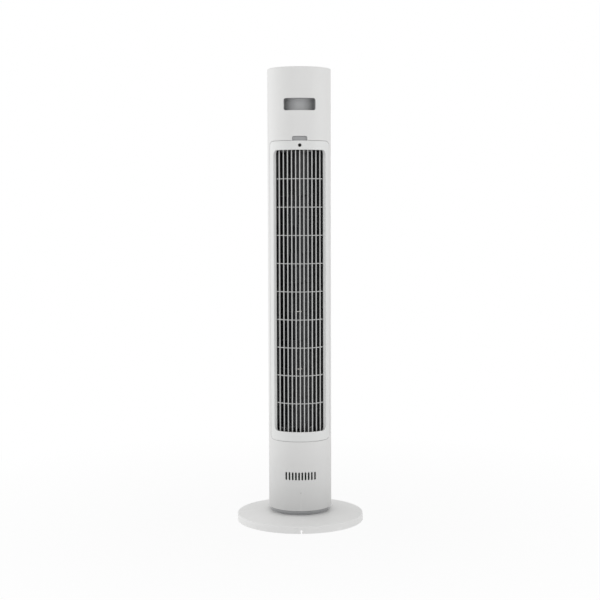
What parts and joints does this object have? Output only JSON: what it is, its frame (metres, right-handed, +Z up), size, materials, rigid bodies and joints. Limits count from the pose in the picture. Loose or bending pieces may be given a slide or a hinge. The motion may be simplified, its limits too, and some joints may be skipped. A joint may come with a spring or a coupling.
{
  "type": "tower fan",
  "caption": "Slim round tower fan on a split disc base, with a screwed intake grille, a hand grip, a cross-flow wheel and a swinging column.",
  "frame": {"origin": "on the floor, at the centre of the round base, below the axis that the tower swings about", "axes": "+Z up along the tower, -Y towards the rear with the intake grille, +Y towards the front outlet, +X to the right seen from behind"},
  "size_m": [0.31, 0.31, 1.106],
  "materials": {
    "white_housing": "fine matt moulded texture",
    "white_grille": "fine matt moulded texture",
    "grey_neck": "satin moulded",
    "dark_duct": "satin moulded",
    "wheel_plastic": "glass-filled, satin",
    "key_plastic": "satin moulded",
    "display_window": "smoked and polished",
    "gear_plastic": "natural acetal",
    "zinc_steel": "zinc plated",
    "stator_iron": "laminated, varnished",
    "sintered_bronze": "oiled sintered",
    "foot_rubber": "matt moulded",
    "board_laminate": "solder-masked laminate",
    "wire_sleeve": "smooth sleeve"
  },
  "bodies": {
    "base": {"base_rear_half": "white_housing", "base_front_half": "white_housing", "base_hub": "grey_neck", "cord_gland": "foot_rubber", "swing_sector": "gear_plastic", "swing_retainer": "zinc_steel", "glide_ring": "gear_plastic", "foot_1": "foot_rubber", "foot_2": "foot_rubber", "foot_3": "foot_rubber", "foot_4": "foot_rubber", "foot_5": "foot_rubber", "foot_6": "foot_rubber", "base_screw_1": "zinc_steel", "base_screw_2": "zinc_steel", "base_screw_3": "zinc_steel", "base_screw_4": "zinc_steel"},
    "tower": {"rear_shell": "white_housing", "front_shell": "white_housing", "rear_grille": "white_grille", "cover_screw": "zinc_steel", "front_grille": "white_grille", "handle_pocket": "white_housing", "top_cap": "white_housing", "display_window": "display_window", "control_board": "board_laminate", "turntable": "grey_neck", "swing_motor": "zinc_steel", "power_board": "board_laminate", "lower_bulkhead": "dark_duct", "upper_bulkhead": "dark_duct", "scroll_wall": "dark_duct", "vortex_tongue": "dark_duct", "wiring_loom": "wire_sleeve", "motor_stator": "stator_iron", "motor_upper_bell": "zinc_steel", "motor_lower_bell": "zinc_steel", "motor_bracket": "zinc_steel", "bearing_rubber": "foot_rubber", "upper_bush": "sintered_bronze"},
    "wheel": {"wheel_segment_1": "wheel_plastic", "wheel_segment_2": "wheel_plastic", "wheel_segment_3": "wheel_plastic", "wheel_segment_4": "wheel_plastic", "wheel_segment_5": "wheel_plastic", "wheel_segment_6": "wheel_plastic", "wheel_segment_7": "wheel_plastic", "wheel_segment_8": "wheel_plastic", "wheel_segment_9": "wheel_plastic", "wheel_lower_hub": "wheel_plastic", "wheel_upper_hub": "wheel_plastic", "motor_shaft": "zinc_steel", "motor_rotor": "stator_iron", "balance_clip_1": "zinc_steel", "balance_clip_2": "zinc_steel"},
    "swing_pinion": {"swing_pinion": "gear_plastic"},
    "button_power": {"button_power": "key_plastic"},
    "button_speed": {"button_speed": "key_plastic"},
    "button_timer": {"button_timer": "key_plastic"},
    "button_swing": {"button_swing": "key_plastic"}
  },
  "joints": [
    {"name": "tower_swing", "type": "hinge", "parent": "base", "child": "tower", "pos_m": [0, 0, 0.038], "axis": [0, 0, 1], "range_deg": [-37.5, 37.5]},
    {"name": "wheel_spin", "type": "hinge", "parent": "tower", "child": "wheel", "pos_m": [-0.008, 0, 0.55], "axis": [0, 0, 1], "continuous": true},
    {"name": "pinion_spin", "type": "hinge", "parent": "tower", "child": "swing_pinion", "pos_m": [0.0376, 0, 0.034], "axis": [0, 0, 1], "range_deg": [-151, 151]},
    {"name": "power_press", "type": "slide", "parent": "tower", "child": "button_power", "axis": [0, 0, -1], "range_m": [0, 0.0008], "stiffness_N_per_m": 500},
    {"name": "speed_press", "type": "slide", "parent": "tower", "child": "button_speed", "axis": [0, 0, -1], "range_m": [0, 0.0008], "stiffness_N_per_m": 500},
    {"name": "timer_press", "type": "slide", "parent": "tower", "child": "button_timer", "axis": [0, 0, -1], "range_m": [0, 0.0008], "stiffness_N_per_m": 500},
    {"name": "swing_press", "type": "slide", "parent": "tower", "child": "button_swing", "axis": [0, 0, -1], "range_m": [0, 0.0008], "stiffness_N_per_m": 500}
  ],
  "couplings": [
    {"joint": "pinion_spin", "follows": "tower_swing", "ratio": 4}
  ]
}
